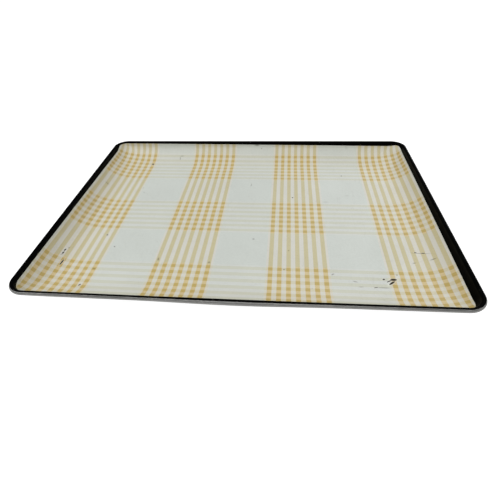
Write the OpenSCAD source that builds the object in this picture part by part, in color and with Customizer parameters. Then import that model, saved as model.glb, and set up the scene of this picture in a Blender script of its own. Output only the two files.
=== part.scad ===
/* [Tray] */
// Overall length over the rolled rim
tray_length = 406; // [300:1:520]
// Overall width over the rolled rim
tray_width = 308; // [220:1:400]
// Height of the wall from the tray floor to the middle of the rim bead
wall_height = 19.6; // [12:0.1:30]
// Distance from the outer rim to where the wall runs out into the flat floor
floor_inset = 42; // [25:1:60]
// Thickness of the pressed tinplate sheet
sheet_t = 0.35; // [0.25:0.05:0.6]

/* [Corners] */
// Outer corner radius at the rim
rim_corner_r = 18; // [10:0.5:30]
// Corner radius where the wall meets the flat floor
floor_corner_r = 42; // [30:1:80]
// How soon the corner radius grows down the wall, 1 is evenly
corner_growth = 0.8; // [0.6:0.05:1.2]

/* [Wear] */
// How far the front rim is bent outwards at the middle of its length
front_bend = 1; // [0:0.1:4]
// How much the bead's radius has opened at the middle of the front rim
front_opening = 0.5; // [0:0.1:1]

/* [Rim] */
// Radius of the rolled bead, over its outer face
bead_r = 2.1; // [1.8:0.1:3]
// How far the sheet is rolled round, from the top of the wall, in degrees
curl_angle = 315; // [270:5:320]
// Radius of the stiffening wire inside the bead
wire_r = 1.6; // [1:0.1:1.6]

/* [Print] */
// Thickness of the printed and enamelled coats
coat_t = 0.1; // [0.05:0.05:0.2]
// Depth of the black border's inner edge below the top of the wall
border_depth = 4.3; // [3:0.1:8]
// How far the black border goes round the bead, from the top of the wall, in degrees
border_angle = 118; // [90:1:150]
// How far the print sits off the pressing towards +X
print_shift_x = -1.3; // [-2:0.1:2]
// How far the print sits off the pressing towards +Y
print_shift_y = 2.4; // [-3:0.1:3]
// How far the print is turned on the pressing, in degrees
print_turn = -0.5; // [-1:0.05:1]
// How much further up the wall the print reaches at the middle of each corner
print_corner_rise = 2.4; // [0:0.1:4]

/* [Hidden] */

// Horizontal run of the wall, from the bead's inner side to the flat floor
wall_run = floor_inset - 2 * bead_r;
// Corner radius at the top of the wall, where it meets the bead's inner side
wall_top_r = rim_corner_r - 2 * bead_r;
// Share of the front rim's half length that rounds the middle of its bend
bend_softness = 0.1;
// Share of the front rim's half length over which the bead has opened
opening_reach = 0.5;
// How far the rim stands out at the middle of the front, past the straight rim
front_bulge = front_bend + 2 * front_opening;

// Steps round one corner, and along the bent front rim
corner_steps = 10;
front_steps = 12;
// Steps up the printed wall, over the black border, round the bare curl and
// round the wire
wall_steps = 9;
border_steps = 8;
curl_steps = 10;
wire_steps = 14;

tin = [0.56, 0.57, 0.56];
steel = [0.45, 0.45, 0.46];
ground = [0.79, 0.80, 0.76];
enamel = [0.03, 0.03, 0.03];

// The cross-section runs along an angle. From 0 to 90 it is the wall, a quarter
// of an ellipse that rises from the floor. Past 90 it is the rolled bead.
// Each gives [inset from the rim, height above the floor, normal inwards, normal up].
function wall_section(a) =
    let (n = norm([wall_height * sin(a), wall_run * cos(a)]))
    [floor_inset - wall_run * sin(a), wall_height * (1 - cos(a)),
     wall_height * sin(a) / n, wall_run * cos(a) / n];

function bead_section(a, r) =
    [2 * bead_r - r + r * cos(a), wall_height + r * sin(a), cos(a), sin(a)];

function section(a, r) = a <= 90 ? wall_section(a) : bead_section(a - 90, r);

// Corner radius at an inset from the rim. The bead's corners are concentric,
// and the wall's corners open out towards the floor.
function corner_r(inset) = inset <= 2 * bead_r
    ? rim_corner_r - inset
    : wall_top_r + (floor_corner_r - wall_top_r)
        * pow((inset - 2 * bead_r) / wall_run, corner_growth);

// Stations round the outline, anticlockwise: [place across, place along, facing].
// A place runs from -1 to 1 between the corners' centres.
function corner(across, along, from) =
    [for (i = [0 : corner_steps]) [across, along, from + 90 * i / corner_steps]];
stations = concat(
    corner(1, 1, 0),
    corner(-1, 1, 90),
    corner(-1, -1, 180),
    [for (i = [1 : front_steps - 1]) [2 * i / front_steps - 1, -1, 270]],
    corner(1, -1, 270));

// Point of the rounded rectangle at a station, at an inset from the rim
function outline_point(st, inset, r) =
    [st[0] * (tray_length / 2 - inset - r) + r * cos(st[2]),
     st[1] * (tray_width / 2 - inset - r) + r * sin(st[2])];

function on_front(st) = st[2] == 270 && abs(st[0]) < 1;

// How far the bent front rim has moved outwards at a station. The bend is
// sharpest at the middle and fades out down the wall.
function bend(st, a) = !on_front(st) ? 0
    : front_bend * (1 - norm([st[0], bend_softness])) / (1 - bend_softness)
        * pow(sin(min(a, 90)), 2);

// Radius of the bead at a station, with the front's opened stretch
function bead_radius(st) = !on_front(st) ? bead_r
    : bead_r + front_opening * pow(cos(90 * min(1, abs(st[0]) / opening_reach)), 2);

// Point of the sheet's printed face, or of a face lifted off it along its normal.
// The outline is centred on the tray as it is now, with its bulging front rim.
function face_point(st, a, lift) =
    let (c = section(a, bead_radius(st)),
         p = outline_point(st, c[0] + c[2] * lift, corner_r(c[0]) - c[2] * lift))
    [p[0], p[1] + front_bulge / 2 - bend(st, a), sheet_t + c[1] + c[3] * lift];

// Depth of the border's inner edge below the top of the wall at a station. The
// print is a little off centre and turned on the pressing, and its corners are
// sharper than the pressing's, so it reaches further up the wall there.
function edge_depth(st) =
    let (p = outline_point(st, 2 * bead_r, wall_top_r),
         turn = print_turn * PI / 180,
         move_x = print_shift_x - turn * p[1],
         move_y = print_shift_y + turn * p[0])
    border_depth - move_x * cos(st[2]) - move_y * sin(st[2])
        - print_corner_rise * pow(sin(2 * st[2]), 2);

// Section angles, at every station, of the edges that bound the printed areas
floor_edge = [for (st = stations) 0];
border_inner = [for (st = stations) acos(edge_depth(st) / wall_height)];
border_outer = [for (st = stations) 90 + border_angle];
curl_end = [for (st = stations) 90 + curl_angle];

// Rings of section angles that step evenly from one edge to the next
function rings(from, to, steps) =
    [for (i = [0 : steps]) from + (to - from) * i / steps];

wall_rings = rings(floor_edge, border_inner, wall_steps);
border_rings = rings(border_inner, border_outer, border_steps);
curl_rings = rings(border_outer, curl_end, curl_steps);

function tail(list) = [for (i = [1 : len(list) - 1]) list[i]];

// Closed solid between two lifts off the printed face, over a list of rings.
// A solid that starts at the floor's edge has the flat floor in it.
module skin(ring_list, low, high, with_floor) {
    count = len(ring_list);
    m = len(stations);
    points = [for (lift = [high, low], ring = ring_list, j = [0 : m - 1])
        face_point(stations[j], ring[j], lift)];
    function top(i, j) = i * m + j % m;
    function under(i, j) = (count + i) * m + j % m;
    upper = [for (i = [0 : count - 2], j = [0 : m - 1], half = [0, 1])
        half == 0 ? [top(i, j), top(i, j + 1), top(i + 1, j + 1)]
                  : [top(i, j), top(i + 1, j + 1), top(i + 1, j)]];
    lower = [for (i = [0 : count - 2], j = [0 : m - 1], half = [0, 1])
        half == 0 ? [under(i, j), under(i + 1, j + 1), under(i, j + 1)]
                  : [under(i, j), under(i + 1, j), under(i + 1, j + 1)]];
    last = count - 1;
    outer_end = [for (j = [0 : m - 1], half = [0, 1])
        half == 0 ? [top(last, j), top(last, j + 1), under(last, j + 1)]
                  : [top(last, j), under(last, j + 1), under(last, j)]];
    inner_end = [for (j = [0 : m - 1], half = [0, 1])
        half == 0 ? [top(0, j + 1), top(0, j), under(0, j + 1)]
                  : [top(0, j), under(0, j), under(0, j + 1)]];
    flat_floor = [[for (j = [0 : m - 1]) top(0, m - 1 - j)],
                  [for (j = [0 : m - 1]) under(0, j)]];
    polyhedron(points, concat(upper, lower, outer_end, with_floor ? flat_floor : inner_end));
}

// Pressed sheet: flat floor, coved wall and the rim rolled outwards
module pan() {
    color(tin)
        skin(concat(wall_rings, tail(border_rings), tail(curl_rings)), -sheet_t, 0, true);
}

// Printed face of the floor and wall, up to the black border
module plaid_print() {
    color(ground) skin(wall_rings, 0, coat_t, true);
}

// Black enamel band over the top of the wall and the top of the bead
module black_border() {
    color(enamel) skin(border_rings, 0, coat_t, false);
}

// Steel wire that runs round inside the bead
module rim_wire() {
    m = len(stations);
    points = [for (i = [0 : wire_steps - 1], st = stations)
        face_point(st, 90 + 360 * i / wire_steps, wire_r - bead_radius(st))];
    function at(i, j) = (i % wire_steps) * m + j % m;
    color(steel) polyhedron(points,
        [for (i = [0 : wire_steps - 1], j = [0 : m - 1], half = [0, 1])
            half == 0 ? [at(i, j), at(i, j + 1), at(i + 1, j + 1)]
                      : [at(i, j), at(i + 1, j + 1), at(i + 1, j)]]);
}

pan();
plaid_print();
black_border();
rim_wire();
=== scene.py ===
"""Looks of the pressed tinplate serving tray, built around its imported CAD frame."""
import math

import bmesh
import bpy
import numpy as np
from mathutils import Matrix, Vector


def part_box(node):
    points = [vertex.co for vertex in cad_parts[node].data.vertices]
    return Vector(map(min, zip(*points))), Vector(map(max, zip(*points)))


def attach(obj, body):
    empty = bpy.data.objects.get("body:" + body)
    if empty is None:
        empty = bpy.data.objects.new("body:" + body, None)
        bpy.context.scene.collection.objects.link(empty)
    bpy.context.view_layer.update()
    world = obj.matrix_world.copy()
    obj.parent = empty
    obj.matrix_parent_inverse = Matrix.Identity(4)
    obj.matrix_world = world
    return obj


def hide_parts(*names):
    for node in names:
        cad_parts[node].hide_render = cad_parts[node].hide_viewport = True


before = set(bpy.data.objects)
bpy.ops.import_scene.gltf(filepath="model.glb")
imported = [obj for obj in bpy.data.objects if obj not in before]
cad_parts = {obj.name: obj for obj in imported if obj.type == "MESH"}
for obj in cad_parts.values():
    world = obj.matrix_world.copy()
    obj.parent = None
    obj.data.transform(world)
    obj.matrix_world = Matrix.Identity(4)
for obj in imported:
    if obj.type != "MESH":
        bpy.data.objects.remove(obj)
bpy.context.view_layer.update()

MM = 0.001

# The pressing, in metres, as the CAD part has it
WALL_HEIGHT = 19.6 * MM
FLOOR_INSET = 42 * MM
SHEET = 0.35 * MM
COAT = 0.1 * MM
RIM_CORNER = 18 * MM
FLOOR_CORNER = 42 * MM
CORNER_GROWTH = 0.8
BEAD = 2.1 * MM
CURL_ANGLE = math.radians(315)
BORDER_ANGLE = math.radians(118)
BORDER_DEPTH = 4.3 * MM
FRONT_BEND = 1 * MM
BEND_SOFTNESS = 0.1
FRONT_OPENING = 0.5 * MM
OPENING_REACH = 0.5
FRONT_BULGE = FRONT_BEND + 2 * FRONT_OPENING
PRINT_SHIFT = (-1.3 * MM, 2.4 * MM)
PRINT_TURN = math.radians(-0.5)
PRINT_CORNER_RISE = 2.4 * MM

pan_low, pan_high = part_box("pan")
LENGTH = pan_high.x - pan_low.x
WIDTH = pan_high.y - pan_low.y - FRONT_BULGE
WALL_RUN = FLOOR_INSET - 2 * BEAD
WALL_TOP_CORNER = RIM_CORNER - 2 * BEAD

# The plaid's sett: one stripe and its gap, and the places of its bundles
SETT = 8.78 * MM
BUNDLE_PERIOD = 13
BUNDLE_HALF = 3.5
PLAID_SHIFT = (-1.4 * MM, -2.4 * MM)
PLAID_TURN = math.radians(-0.38)

# Soft edges of a stripe and of a bundle, in stripes
STRIPE_EDGE = (0.23, 0.262)
BUNDLE_EDGE = 0.02

# Folds sharper than this are shown as edges
SHARP_ANGLE = math.radians(35)
# Two angles that differ by less than this, in radians, are the same
ANGLE_SLACK = 1e-6


# ---------------------------------------------------------------- geometry

def corner_radius(inset):
    """Corner radius of the outline at an inset from the rim, down to the floor's edge."""
    down = np.clip((inset - 2 * BEAD) / WALL_RUN, 0, 1) ** CORNER_GROWTH
    opened = WALL_TOP_CORNER + (FLOOR_CORNER - WALL_TOP_CORNER) * down
    return np.where(inset <= 2 * BEAD, RIM_CORNER - inset, opened)


def make_stations(corner_steps=14, side_steps=36):
    """Places round the outline, anticlockwise: across, along (-1 to 1) and facing angle."""
    rows = []
    corners = [(1, 1), (-1, 1), (-1, -1), (1, -1)]
    for k, (across, along) in enumerate(corners):
        for i in range(corner_steps + 1):
            rows.append((across, along, math.pi / 2 * (k + i / corner_steps)))
        next_across, next_along = corners[(k + 1) % 4]
        for i in range(1, side_steps):
            part = i / side_steps
            rows.append((across + part * (next_across - across),
                         along + part * (next_along - along), math.pi / 2 * (k + 1)))
    return np.array(rows)


STATIONS = make_stations()
ACROSS, ALONG, FACING = STATIONS.T

# The front rim is bent, and its bead has opened, most at the middle of its length
ON_FRONT = (np.abs(FACING - 1.5 * math.pi) < ANGLE_SLACK) & (np.abs(ACROSS) < 1)
OPENED = np.cos(math.pi / 2 * np.minimum(1, np.abs(ACROSS) / OPENING_REACH)) ** 2
BEAD_RADII = BEAD + np.where(ON_FRONT, FRONT_OPENING * OPENED, 0)


def section(a):
    """Section at each station's angle a: inset, height, and the printed face's normal."""
    wall = a <= math.pi / 2
    sin, cos = np.sin(a), np.cos(a)
    size = np.hypot(WALL_HEIGHT * sin, WALL_RUN * cos)
    bead_cos, bead_sin = sin, -cos
    inset = np.where(wall, FLOOR_INSET - WALL_RUN * sin, 2 * BEAD - BEAD_RADII * (1 - bead_cos))
    height = WALL_HEIGHT + np.where(wall, -WALL_HEIGHT * cos, BEAD_RADII * bead_sin)
    inward = np.where(wall, WALL_HEIGHT * sin / size, bead_cos)
    upward = np.where(wall, WALL_RUN * cos / size, bead_sin)
    return inset, height, inward, upward


def outline(inset, radius):
    """The rounded rectangle's points, one for each station."""
    return (ACROSS * (LENGTH / 2 - inset - radius) + radius * np.cos(FACING),
            ALONG * (WIDTH / 2 - inset - radius) + radius * np.sin(FACING))


def bend(a):
    """How far the worn front rim has moved outwards, for each station."""
    shape = (1 - np.hypot(ACROSS, BEND_SOFTNESS)) / (1 - BEND_SOFTNESS)
    return np.where(ON_FRONT, FRONT_BEND * shape * np.sin(np.minimum(a, math.pi / 2)) ** 2, 0)


def face_ring(a, lift):
    """One ring of the printed face, or of a face lifted off it along its normal."""
    inset, height, inward, upward = section(a)
    x, y = outline(inset + inward * lift, corner_radius(inset) - inward * lift)
    return np.stack([x, y + FRONT_BULGE / 2 - bend(a), SHEET + height + upward * lift], 1)


def border_inner():
    """Section angle of the black border's inner edge at each station."""
    x, y = outline(2 * BEAD, WALL_TOP_CORNER)
    move_x = PRINT_SHIFT[0] - PRINT_TURN * y
    move_y = PRINT_SHIFT[1] + PRINT_TURN * x
    depth = BORDER_DEPTH - move_x * np.cos(FACING) - move_y * np.sin(FACING)
    corner_rise = PRINT_CORNER_RISE * np.sin(2 * FACING) ** 2
    return np.arccos((depth - corner_rise) / WALL_HEIGHT)


def ring_angles(start, end, steps):
    """Section angles, one row for each ring, from one edge to the next."""
    start = np.broadcast_to(start, FACING.shape)
    end = np.broadcast_to(end, FACING.shape)
    return [start + (end - start) * i / steps for i in range(steps + 1)]


def arc_extra(a):
    """How much longer the wall is, from the floor's edge up to a, than its plan."""
    steps = np.linspace(0, math.pi / 2, 400)
    run = WALL_RUN * np.sin(steps)
    rise = WALL_HEIGHT * (1 - np.cos(steps))
    length = np.concatenate([[0], np.cumsum(np.hypot(np.diff(run), np.diff(rise)))])
    return np.interp(a, steps, length - run)


def arc_length(a):
    """Length of the section from the wall's foot up to a, over the wall and the bead."""
    a = np.broadcast_to(a, FACING.shape)
    inset = section(np.minimum(a, math.pi / 2))[0]
    wall = FLOOR_INSET - inset + arc_extra(np.minimum(a, math.pi / 2))
    return wall + BEAD * np.maximum(a - math.pi / 2, 0)


def print_place(a):
    """Where a ring lies on the flat printed sheet, in metres, from the plaid's centre."""
    inset = section(a)[0]
    x, y = outline(inset, corner_radius(inset))
    extra = arc_extra(np.minimum(a, math.pi / 2))
    return flat_print(x + extra * np.cos(FACING), y + extra * np.sin(FACING))


def flat_print(x, y):
    """A place on the flat sheet, from the tray's centre, as one from the plaid's centre."""
    u, v = x - PLAID_SHIFT[0], y - PLAID_SHIFT[1]
    cos, sin = math.cos(PLAID_TURN), math.sin(PLAID_TURN)
    return np.stack([cos * u + sin * v, cos * v - sin * u], 1)


def floor_rings(lift, steps=26, last_inset=146 * MM, least_corner=4 * MM):
    """Rings of the flat floor, from near its middle out to the wall's foot."""
    rings, places = [], []
    for i in range(steps):
        inset = last_inset + (FLOOR_INSET - last_inset) * i / steps
        radius = max(FLOOR_CORNER - (inset - FLOOR_INSET), least_corner)
        x, y = outline(inset, radius)
        rings.append(np.stack([x, y + FRONT_BULGE / 2, np.full(x.shape, SHEET + lift)], 1))
        places.append(flat_print(x, y))
    return rings, places


def skin_layer(angles, lift, with_floor):
    """One face of a skin: its points, their print places and their lengths up the section."""
    rings = [face_ring(a, lift) for a in angles]
    places = [print_place(a) for a in angles]
    lengths = [arc_length(a) for a in angles]
    if with_floor:
        inner, inner_places = floor_rings(lift)
        lengths = [np.zeros(len(FACING))] * len(inner) + lengths
        rings, places = inner + rings, inner_places + places
    return np.concatenate(rings), np.concatenate(places), np.concatenate(lengths)


def skin_faces(ring_count, with_floor):
    """Faces of a closed skin whose upper layer's points come before its lower layer's."""
    count = len(FACING)
    under = ring_count * count
    faces = []
    for i in range(ring_count - 1):
        for j in range(count):
            k = (j + 1) % count
            a, b, c, d = i * count + j, i * count + k, (i + 1) * count + k, (i + 1) * count + j
            faces.append((a, d, c, b))
            faces.append((under + a, under + b, under + c, under + d))
    last = (ring_count - 1) * count
    for j in range(count):
        k = (j + 1) % count
        faces.append((last + j, under + last + j, under + last + k, last + k))
        if not with_floor:
            faces.append((k, under + k, under + j, j))
    if with_floor:
        faces.append(tuple(range(count)))
        faces.append(tuple(under + j for j in reversed(range(count))))
    return faces


def skin_mesh(name, angles, low, high, with_floor):
    """Closed solid between two lifts off the printed face, with print places as its UVs."""
    layers = [skin_layer(angles, lift, with_floor) for lift in (high, low)]
    points, places, lengths = (np.concatenate(parts) for parts in zip(*layers))
    ring_count = len(points) // len(layers) // len(FACING)
    mesh = bpy.data.meshes.new(name)
    mesh.from_pydata(points.tolist(), [], skin_faces(ring_count, with_floor))
    mesh.validate()
    uv = mesh.uv_layers.new(name="print")
    corner_points = np.zeros(len(mesh.loops), int)
    mesh.loops.foreach_get("vertex_index", corner_points)
    uv.data.foreach_set("uv", places[corner_points].ravel())
    arc = mesh.attributes.new(name="arc", type="FLOAT", domain="POINT")
    arc.data.foreach_set("value", lengths)
    mesh.shade_smooth()
    mesh.set_sharp_from_angle(angle=SHARP_ANGLE)
    return add_object(name, mesh)


def add_object(name, data):
    """A new object in the scene that holds a mesh, a light or a camera."""
    obj = bpy.data.objects.new(name, data)
    bpy.context.scene.collection.objects.link(obj)
    return obj


def place_piece(obj, node, material):
    """The piece stands for a CAD node and rides with the tray."""
    obj.data.materials.append(material)
    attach(obj, "root")
    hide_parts(node)


# ---------------------------------------------------------------- materials

def linear(r, g, b):
    """Linear colour of an sRGB colour given from 0 to 255."""
    return tuple(((c / 255 + 0.055) / 1.055) ** 2.4 if c > 10 else c / 255 / 12.92
                 for c in (r, g, b)) + (1,)


# Colours of the print's inks, alone and where the two bundles overlap
GROUND = linear(202, 207, 201)
WARP_GAP = linear(209, 208, 199)
WEFT_GAP = linear(206, 209, 204)
WARP = linear(199, 191, 154)
WARP_IN_WEFT = linear(208, 191, 147)
WEFT = linear(202, 204, 189)
WEFT_IN_WARP = linear(207, 202, 179)
CROSSING = linear(190, 168, 103)

# What the print's colour is multiplied by, up the wall, where it has yellowed
AGED = (1.0, 0.98, 0.955, 1)

# Wear and dirt on the print
CHIP_EDGE = linear(232, 231, 224)
CHIP_DARK = linear(22, 20, 17)
CHIP_BROWN = linear(62, 52, 38)
PRINT_SCRATCH = linear(120, 116, 104)
DIRT = linear(72, 66, 54)

# The black border, the bare sheet and the wire
ENAMEL = (0.0005, 0.0005, 0.0005, 1)
ENAMEL_SCRATCH = linear(96, 94, 90)
ENAMEL_RUBBED = linear(128, 126, 120)
TIN = linear(132, 132, 130)
TIN_STAIN = linear(98, 94, 84)
# Painted shade for the bead's downturned lower side, as if it faced the shadowed floor under the tray
TIN_PAINTED_SHADE = linear(58, 56, 50)
TIN_SCRATCH = linear(186, 186, 180)
WIRE = linear(112, 110, 106)
RUST = linear(92, 60, 38)


class Graph:
    """Shorthand for building one material's nodes."""

    def __init__(self, name):
        self.material = bpy.data.materials.new(name)
        self.material.use_nodes = True
        self.tree = self.material.node_tree
        self.tree.nodes.clear()
        self.shader = self.node("ShaderNodeBsdfPrincipled")
        output = self.node("ShaderNodeOutputMaterial")
        self.tree.links.new(self.shader.outputs[0], output.inputs["Surface"])

    def node(self, kind, **settings):
        made = self.tree.nodes.new(kind)
        for key, value in settings.items():
            setattr(made, key, value)
        return made

    def plug(self, socket, value):
        if isinstance(value, bpy.types.NodeSocket):
            self.tree.links.new(value, socket)
        else:
            socket.default_value = value

    def math(self, operation, *values):
        made = self.node("ShaderNodeMath", operation=operation)
        for socket, value in zip(made.inputs, values):
            self.plug(socket, value)
        return made.outputs[0]

    def ramp(self, value, low, high, low_out=0.0, high_out=1.0):
        made = self.node("ShaderNodeMapRange", interpolation_type="SMOOTHSTEP")
        for socket, given in zip(made.inputs, (value, low, high, low_out, high_out)):
            self.plug(socket, given)
        return made.outputs[0]

    def mix(self, factor, a, b, blend="MIX"):
        made = self.node("ShaderNodeMix", data_type="RGBA", blend_type=blend)
        self.plug(made.inputs[0], factor)
        self.plug(made.inputs[6], a)
        self.plug(made.inputs[7], b)
        return made.outputs[2]

    def shade(self, colour, value):
        """The colour made lighter or darker by a value near 1."""
        made = self.node("ShaderNodeVectorMath", operation="SCALE")
        self.plug(made.inputs[0], colour[:3] if isinstance(colour, tuple) else colour)
        self.plug(made.inputs["Scale"], value)
        return made.outputs[0]

    def noise(self, vector, size, detail=2.0, roughness=0.5):
        """Noise, 0 to 1, with features about this size in metres."""
        made = self.node("ShaderNodeTexNoise")
        self.plug(made.inputs["Vector"], vector)
        made.inputs["Scale"].default_value = 1 / size
        made.inputs["Detail"].default_value = detail
        made.inputs["Roughness"].default_value = roughness
        return made

    def grain(self, vector, size, low, high, **settings):
        """A value that wanders between low and high with features of this size."""
        return self.ramp(self.noise(vector, size, **settings).outputs[0], 0.3, 0.7, low, high)

    def cells(self, vector, size):
        made = self.node("ShaderNodeTexVoronoi")
        self.plug(made.inputs["Vector"], vector)
        made.inputs["Scale"].default_value = 1 / size
        return made

    def coordinates(self):
        return self.node("ShaderNodeTexCoord").outputs["Object"]

    def print_uv(self):
        made = self.node("ShaderNodeUVMap", uv_map="print")
        return made.outputs[0]

    def arc(self):
        made = self.node("ShaderNodeAttribute", attribute_name="arc")
        return made.outputs["Fac"]

    def split(self, vector):
        made = self.node("ShaderNodeSeparateXYZ")
        self.plug(made.inputs[0], vector)
        return made.outputs

    def mapped(self, vector, place=(0, 0, 0), turn=0.0, size=(1, 1, 1)):
        made = self.node("ShaderNodeMapping", vector_type="TEXTURE")
        self.plug(made.inputs["Vector"], vector)
        made.inputs["Location"].default_value = place
        made.inputs["Rotation"].default_value = (0, 0, turn)
        made.inputs["Scale"].default_value = size
        return made.outputs[0]

    def ragged(self, vector, size, reach):
        """The vector moved about by noise, up to reach metres, to make edges ragged."""
        wander = self.node("ShaderNodeVectorMath", operation="MULTIPLY_ADD")
        self.plug(wander.inputs[0], self.noise(vector, size, detail=3).outputs["Color"])
        wander.inputs[1].default_value = (2 * reach,) * 3
        self.plug(wander.inputs[2], self.mapped(vector, place=(reach, reach, 0)))
        return wander.outputs[0]

    def length(self, vector):
        made = self.node("ShaderNodeVectorMath", operation="LENGTH")
        self.plug(made.inputs[0], vector)
        return made.outputs["Value"]

    def most(self, values):
        result = values[0]
        for value in values[1:]:
            result = self.math("MAXIMUM", result, value)
        return result

    def scratches(self, vector, turn, length, gap, fineness):
        """Fine broken lines along one direction, 1 on a line."""
        along = self.mapped(vector, turn=turn, size=(length, gap, gap))
        lines = self.math("ABSOLUTE", self.math("SUBTRACT", self.noise(along, 1).outputs[0], 0.5))
        here = self.grain(vector, 6 * gap, 0.0, 1.0, detail=1)
        return self.math("MULTIPLY", self.ramp(lines, 0.0, fineness, 1.0, 0.0), here)

    def bump(self, height, distance, normal=None):
        """A bump whose height of 1 stands up by distance."""
        made = self.node("ShaderNodeBump")
        made.inputs["Distance"].default_value = distance
        self.plug(made.inputs["Height"], height)
        if normal is not None:
            self.plug(made.inputs["Normal"], normal)
        return made.outputs[0]

    def set(self, **values):
        for name, value in values.items():
            self.plug(self.shader.inputs[name.replace("_", " ")], value)


# Chips, scuffs and smudges of the printed face. Across and along are counted in
# stripes from the plaid's centre, length and width are in mm, and turn in degrees
CHIPS = [
    (16.5, -11, 6.5, 3, 5), (16.25, -11.5, 8, 2, 40), (16, -11.25, 6, 1, 30),
    (15.5, -11, 2.5, 2, 0), (14.5, -12.25, 4, 1, 10), (-21, -8.5, 4, 1.5, 75),
    (-21, -9, 4, 1.5, 75), (-20.5, -10.5, 9, 1.5, 85), (-17.25, -4.75, 2.5, 2, 0),
    (-15.5, -7, 2, 1.5, 0), (-17, -13.75, 3.5, 1.5, 55), (-16.5, 14, 3, 3, 0),
    (13.25, 11, 2, 2, 0), (6, 4.75, 2, 2, 0), (19.75, -6.5, 2.5, 1, -5), (20.5, -6.75, 4, 1, -15),
]
SCUFFS = [
    (20.25, -6.75, 21, 1, -15), (21.25, -8, 7.5, 1.5, 10), (19.25, -8.25, 4, 1.5, 10),
    (15.25, -12.25, 15, 1.5, 0), (13, -12.25, 6, 1, 5), (12.5, -11.5, 5.5, 1.5, -15),
    (17, -10.25, 2, 2, 0), (1.25, -4.75, 3, 2.5, 0), (5.5, -6.75, 2, 2, 0),
    (-3.5, -9.25, 3, 3, 0), (-9.5, -9, 5.5, 2.5, -85), (5, -10, 2.5, 2.5, 0),
    (-21.5, 6.75, 8.5, 2, -25), (-12, 16, 6, 1.5, 5), (-12.25, 15.5, 7, 1.5, -80),
    (10.25, -10.5, 4, 2, 40), (-16.5, -11, 4, 2, 0), (-21, -9.25, 5, 1.5, 60),
    (-20.75, -8, 3, 1.5, 75), (0, 8, 9, 1, 85), (1, 17.5, 2, 2, 0), (0.25, 18, 8, 3, 0),
    (-16, 6.75, 2, 2, 0), (-15.5, 5.5, 2, 2, 0),
]
SMUDGES = [(13.5, 5.5, 8, 6, 0), (10.5, 3.75, 11, 8, 20), (14.5, 17.75, 8, 5, 0)]


def marks(g, place, rows):
    """How far into the nearest mark a place is: 1 at its middle, 0 at its edge, less beyond."""
    near = []
    for across, along, length, width, turn in rows:
        local = g.mapped(place, (across * SETT, along * SETT, 0), math.radians(turn),
                         (length / 2 * MM, width / 2 * MM, 1))
        near.append(g.math("SUBTRACT", 1.0, g.length(local)))
    return g.most(near)


def stripes(g, place, shift):
    """Masks of the seven even stripes of each bundle, and of the whole bundle."""
    counted = g.math("WRAP", g.math("MULTIPLY_ADD", place, 1 / SETT, shift),
                     BUNDLE_PERIOD / 2, -BUNDLE_PERIOD / 2)
    nearest = g.math("ABSOLUTE", g.math("SUBTRACT", counted, g.math("ROUND", counted)))
    bundle = g.ramp(g.math("ABSOLUTE", counted), BUNDLE_HALF - BUNDLE_EDGE,
                    BUNDLE_HALF + BUNDLE_EDGE, 1.0, 0.0)
    return g.math("MULTIPLY", g.ramp(nearest, *STRIPE_EDGE, 1.0, 0.0), bundle), bundle


def print_colour(g, uv):
    """Colour of the clean print: two bundles of stripes, overprinted, with a fine hatch."""
    wavy = g.ragged(uv, 3 * MM, 0.12 * MM)
    u, v, _ = g.split(wavy)
    warp, warp_bundle = stripes(g, u, BUNDLE_PERIOD / 2)
    weft, weft_bundle = stripes(g, v, 0.0)
    ground = g.mix(warp_bundle, g.mix(weft_bundle, GROUND, WEFT_GAP), WARP_GAP)
    alone = g.mix(warp, ground, g.mix(weft_bundle, WARP, WARP_IN_WEFT))
    crossed = g.mix(warp, g.mix(warp_bundle, WEFT, WEFT_IN_WARP), CROSSING)
    colour = g.mix(weft, alone, crossed)

    inked = g.math("MAXIMUM", warp, weft)
    hatch = g.node("ShaderNodeTexWave", bands_direction="DIAGONAL")
    g.plug(hatch.inputs["Vector"], wavy)
    hatch.inputs["Scale"].default_value = 0.25 / MM
    hatched = g.math("MULTIPLY_ADD", g.math("MULTIPLY", hatch.outputs["Fac"], inked), -0.05, 1.02)
    tone = g.math("MULTIPLY", g.grain(uv, 45 * MM, 0.985, 1.015), g.grain(uv, 2.5 * MM, 0.985, 1.015))
    tone = g.math("MULTIPLY", tone, g.grain(uv, 0.3 * MM, 0.97, 1.03, detail=0))
    colour = g.shade(colour, g.math("MULTIPLY", tone, hatched))
    aged = g.ramp(g.arc(), 0.0, 16 * MM)
    return g.mix(aged, colour, AGED, "MULTIPLY")


def print_specks(g, uv):
    """Small dark specks, in about a quarter of the cells of a coarse pattern."""
    spots = g.cells(g.ragged(uv, 2 * MM, 0.4 * MM), 24 * MM)
    kept = g.ramp(g.split(spots.outputs["Color"])[0], 0.72, 0.78)
    specks = g.ramp(spots.outputs["Distance"], 0.008, 0.022, 0.5, 0.0)
    return g.math("MULTIPLY", specks, kept)


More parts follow.
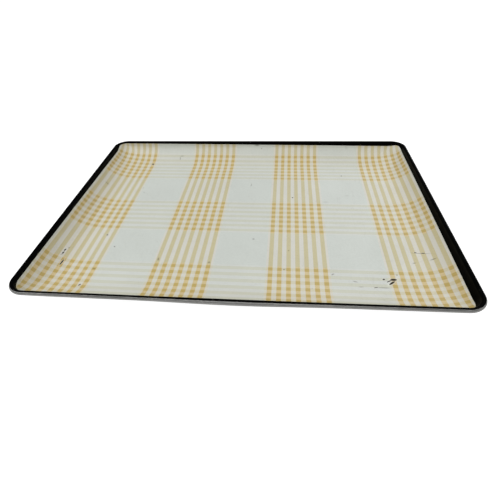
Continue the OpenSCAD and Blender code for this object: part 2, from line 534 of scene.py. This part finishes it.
def plaid_material():
    """Pale printed face under a worn varnish, with its chips, scuffs and scratches."""
    g = Graph("plaid_print")
    uv = g.print_uv()
    colour = print_colour(g, uv)

    ragged = g.ragged(uv, 1.1 * MM, 0.5 * MM)
    chips = marks(g, ragged, CHIPS)
    chipped = g.ramp(chips, -0.1, 0.25)
    halo = g.ramp(chips, -0.9, -0.1, 0.0, 0.35)
    scuffs = g.ramp(marks(g, ragged, SCUFFS), -0.2, 0.7, 0.0, 0.5)
    smudges = g.ramp(marks(g, g.ragged(uv, 4 * MM, 1.5 * MM), SMUDGES), 0.0, 0.9, 0.0, 0.1)
    fine = g.most([g.scratches(uv, math.radians(turn), length * MM, gap * MM, 0.012)
                   for turn, length, gap in ((17, 60, 3), (-52, 35, 4), (88, 45, 5))])

    colour = g.mix(halo, colour, CHIP_EDGE)
    colour = g.mix(g.math("MULTIPLY", fine, 0.1), colour, PRINT_SCRATCH)
    colour = g.mix(g.most([scuffs, smudges, print_specks(g, uv)]), colour, DIRT)
    chip_colour = g.mix(g.grain(uv, 0.8 * MM, 0.0, 1.0), CHIP_DARK, CHIP_BROWN)
    colour = g.mix(chipped, colour, chip_colour)

    dull = g.most([g.math("MULTIPLY", fine, 0.2), g.math("MULTIPLY", chipped, 0.35), scuffs])
    roughness = g.math("ADD", g.grain(uv, 12 * MM, 0.34, 0.44, detail=4), dull)
    relief = g.bump(g.noise(uv, 1.4 * MM, detail=4).outputs[0], 0.012 * MM)
    relief = g.bump(g.math("MAXIMUM", chipped, g.math("MULTIPLY", fine, 0.2)), -0.09 * MM, relief)
    g.set(Base_Color=colour, Roughness=roughness, Specular_IOR_Level=0.35, Normal=relief)
    return g.material


def enamel_material():
    """Black stoving enamel of the border, rubbed through in places along its outer edge."""
    g = Graph("black_enamel")
    place = g.coordinates()
    border_end = float(arc_length(outer_edge)[0])
    edge = g.ramp(g.arc(), border_end - 0.7 * MM, border_end)
    worn = g.ramp(g.math("ADD", g.noise(place, 5 * MM, detail=6, roughness=0.7).outputs[0],
                         g.math("MULTIPLY", edge, 0.2)), 0.8, 0.84)
    nicks = g.ramp(g.noise(place, 1.6 * MM, detail=2).outputs[0], 0.79, 0.82, 0.0, 0.4)
    fine = g.most([g.scratches(place, math.radians(turn), 30 * MM, 2.5 * MM, 0.015)
                   for turn in (4, 86, 40)])
    bare = g.math("MAXIMUM", worn, nicks)
    colour = g.shade(ENAMEL, g.grain(place, 6 * MM, 0.6, 1.4, detail=4))
    colour = g.mix(g.math("MULTIPLY", fine, 0.03), colour, ENAMEL_SCRATCH)
    colour = g.mix(bare, colour, ENAMEL_RUBBED)
    relief = g.bump(g.noise(place, 1.8 * MM, detail=3).outputs[0], 0.02 * MM)
    relief = g.bump(bare, -0.06 * MM, relief)
    g.set(Base_Color=colour, Metallic=g.math("MULTIPLY", bare, 0.8), Normal=relief,
          Roughness=g.math("ADD", g.grain(place, 9 * MM, 0.36, 0.5, detail=4),
                           g.math("MULTIPLY", fine, 0.2)),
          Specular_IOR_Level=0.02)
    return g.material


def tin_material():
    """Bare tinplate of the underside and bead: dull, finely rolled, lightly stained, with painted
    shade darkening the bead's lower side.
    """
    g = Graph("tinplate")
    place = g.coordinates()
    rolled = g.noise(g.mapped(place, size=(40, 1, 1)), 0.35 * MM, detail=3).outputs[0]
    crystals = g.cells(g.ragged(place, 9 * MM, 3 * MM), 7 * MM)
    spangle = g.split(crystals.outputs["Color"])[1]
    stain = g.ramp(g.noise(place, 38 * MM, detail=6, roughness=0.65).outputs[0], 0.52, 0.72)
    rust = g.ramp(g.noise(place, 3.5 * MM, detail=5, roughness=0.7).outputs[0], 0.72, 0.78, 0.0, 0.8)
    bead_side, bead_foot = (float(arc_length(math.radians(a))[0]) for a in (265, 335))
    # The bead darkens from its outer side round to its underside: painted shade, as if it faced the
    # shadowed floor under the tray
    underside_painted_shade = g.ramp(g.arc(), bead_side, bead_foot, 0.0, 0.75)
    fine = g.most([g.scratches(place, math.radians(turn), 40 * MM, 3 * MM, 0.014)
                   for turn in (9, -38, 71)])
    tone = g.math("MULTIPLY", g.ramp(rolled, 0.3, 0.7, 0.94, 1.06), g.ramp(spangle, 0, 1, 0.95, 1.05))
    colour = g.shade(TIN, tone)
    colour = g.mix(g.math("MULTIPLY", stain, 0.4), colour, TIN_STAIN)
    colour = g.mix(underside_painted_shade, colour, TIN_PAINTED_SHADE)
    colour = g.mix(g.math("MULTIPLY", fine, 0.35), colour, TIN_SCRATCH)
    colour = g.mix(rust, colour, RUST)
    roughness = g.math("MULTIPLY_ADD", stain, 0.12, g.ramp(spangle, 0, 1, 0.38, 0.46))
    relief = g.bump(rolled, 0.008 * MM)
    relief = g.bump(g.math("SUBTRACT", rust, fine), 0.02 * MM, relief)
    g.set(Base_Color=colour, Metallic=g.math("MULTIPLY_ADD", rust, -0.8, 0.9),
          Roughness=g.math("MULTIPLY_ADD", rust, 0.3, roughness), Normal=relief)
    return g.material


def wire_material():
    """Drawn steel wire, darkened and flecked with rust."""
    g = Graph("steel_wire")
    place = g.coordinates()
    drawn = g.noise(place, 0.5 * MM, detail=3).outputs[0]
    rust = g.ramp(g.noise(place, 6 * MM, detail=5, roughness=0.7).outputs[0], 0.5, 0.62)
    colour = g.shade(WIRE, g.ramp(drawn, 0.3, 0.7, 0.85, 1.15))
    g.set(Base_Color=g.mix(rust, colour, RUST), Metallic=g.math("MULTIPLY_ADD", rust, -0.8, 0.9),
          Roughness=g.math("MULTIPLY_ADD", rust, 0.35, 0.4), Normal=g.bump(drawn, 0.02 * MM))
    return g.material


# ---------------------------------------------------------------- pieces

inner_edge = border_inner()
outer_edge = math.pi / 2 + BORDER_ANGLE
curl_edge = math.pi / 2 + CURL_ANGLE
wall_angles = ring_angles(0.0, inner_edge, 40)
border_angles = ring_angles(inner_edge, outer_edge, 28)
curl_angles = ring_angles(outer_edge, curl_edge, 36)

pan = skin_mesh("pressed_pan", wall_angles + border_angles[1:] + curl_angles[1:], -SHEET, 0, True)
face = skin_mesh("printed_face", wall_angles, 0, COAT, True)
border = skin_mesh("enamel_border", border_angles, 0, COAT, False)
place_piece(pan, "pan", tin_material())
place_piece(face, "plaid_print", plaid_material())
place_piece(border, "black_border", enamel_material())
wire_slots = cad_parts["rim_wire"].data.materials
wire_slots.clear()
wire_slots.append(wire_material())


# ---------------------------------------------------------------- stage

WHITE = (1, 1, 1, 1)
BLACK = (0, 0, 0, 1)
FLOOR_GREY = (0.3, 0.3, 0.3, 1)
FLOOR_GLOW = 0.95
FLOOR_GAP = 0.05 * MM
WORLD_STRENGTH = 0.15

# Each studio light's place in metres, its width in metres and its power in watts
LIGHTS = {
    "left": ((-1.7, -0.1, 1.9), 1.4, 36.5),
    "right": ((1.7, -0.1, 1.9), 1.4, 22),
    "front": ((0, -1.9, 2.2), 1.4, 17),
    "back": ((0.6, 1.9, 1.3), 1.2, 5.7),
}

CAMERA_PLACE = (0.0347, -0.3579, 0.2491)
CAMERA_HEADING = math.radians(-6.99)
CAMERA_PITCH = math.radians(41.64)
CAMERA_ROLL = math.radians(2.95)
CAMERA_LENS = 27.04
CAMERA_SENSOR = 36
CAMERA_SHIFT = (0.0152, 0.0238)


def make_floor(size=18.0):
    """A pale floor just under the tray, bright enough to show white."""
    mesh = bpy.data.meshes.new("studio_floor")
    h = size / 2
    mesh.from_pydata([(-h, -h, 0), (h, -h, 0), (h, h, 0), (-h, h, 0)], [], [(0, 1, 2, 3)])
    obj = add_object("studio_floor", mesh)
    obj.location.z = pan_low.z - FLOOR_GAP
    g = Graph("studio_floor")
    g.set(Base_Color=FLOOR_GREY, Roughness=0.9, Specular_IOR_Level=0.1,
          Emission_Color=WHITE, Emission_Strength=FLOOR_GLOW)
    mesh.materials.append(g.material)


def make_backdrop(radius=9.0):
    """A white sphere round the set that only the camera sees, so it doesn't light the tray."""
    mesh = bpy.data.meshes.new("backdrop")
    shape = bmesh.new()
    bmesh.ops.create_uvsphere(shape, u_segments=48, v_segments=24, radius=radius)
    shape.to_mesh(mesh)
    shape.free()
    obj = add_object("backdrop", mesh)
    g = Graph("backdrop")
    g.set(Base_Color=BLACK, Specular_IOR_Level=0.0,
          Emission_Color=WHITE, Emission_Strength=1.0)
    mesh.materials.append(g.material)
    obj.visible_diffuse = False
    obj.visible_glossy = False
    obj.visible_transmission = False
    obj.visible_shadow = False


def look_axes(toward):
    """Rotation of a light that looks along toward: its columns are right, up and back."""
    back = -np.array(toward, float) / np.linalg.norm(toward)
    right = np.cross((0, 0, 1), back)
    right /= np.linalg.norm(right)
    up = np.cross(back, right)
    return np.stack([right, up, back], 1)


def area_light(name, place, size, power):
    """A round soft light that looks at the tray's middle."""
    light = bpy.data.lights.new(name, "AREA")
    light.shape = "DISK"
    light.size = size
    light.energy = power
    obj = add_object(name, light)
    obj.location = place
    obj.rotation_euler = Matrix(look_axes(np.subtract((0, 0, 0), place))).to_euler()


def make_camera():
    """A camera close above the front of the tray, rolled a little to one side."""
    cos_pitch, sin_pitch = math.cos(CAMERA_PITCH), math.sin(CAMERA_PITCH)
    cos_heading, sin_heading = math.cos(CAMERA_HEADING), math.sin(CAMERA_HEADING)
    cos_roll, sin_roll = math.cos(CAMERA_ROLL), math.sin(CAMERA_ROLL)
    ahead = np.array([sin_heading * cos_pitch, cos_heading * cos_pitch, -sin_pitch])
    level_right = np.array([cos_heading, -sin_heading, 0])
    level_down = np.cross(ahead, level_right)
    right = cos_roll * level_right + sin_roll * level_down
    down = cos_roll * level_down - sin_roll * level_right
    data = bpy.data.cameras.new("camera")
    data.sensor_width = CAMERA_SENSOR
    data.lens = CAMERA_LENS
    data.shift_x, data.shift_y = CAMERA_SHIFT
    obj = add_object("camera", data)
    turn = Matrix(np.stack([right, -down, -ahead], 1)).to_4x4()
    obj.matrix_world = Matrix.Translation(CAMERA_PLACE) @ turn
    bpy.context.scene.camera = obj


def make_studio():
    """A dim white world, four soft lights, and colours shown as they are."""
    world = bpy.data.worlds.new("studio")
    world.use_nodes = True
    background = world.node_tree.nodes["Background"]
    background.inputs["Color"].default_value = WHITE
    background.inputs["Strength"].default_value = WORLD_STRENGTH
    bpy.context.scene.world = world
    for name, (place, size, power) in LIGHTS.items():
        area_light(name, place, size, power)
    bpy.context.scene.view_settings.view_transform = "Standard"


make_floor()
make_backdrop()
make_camera()
make_studio()
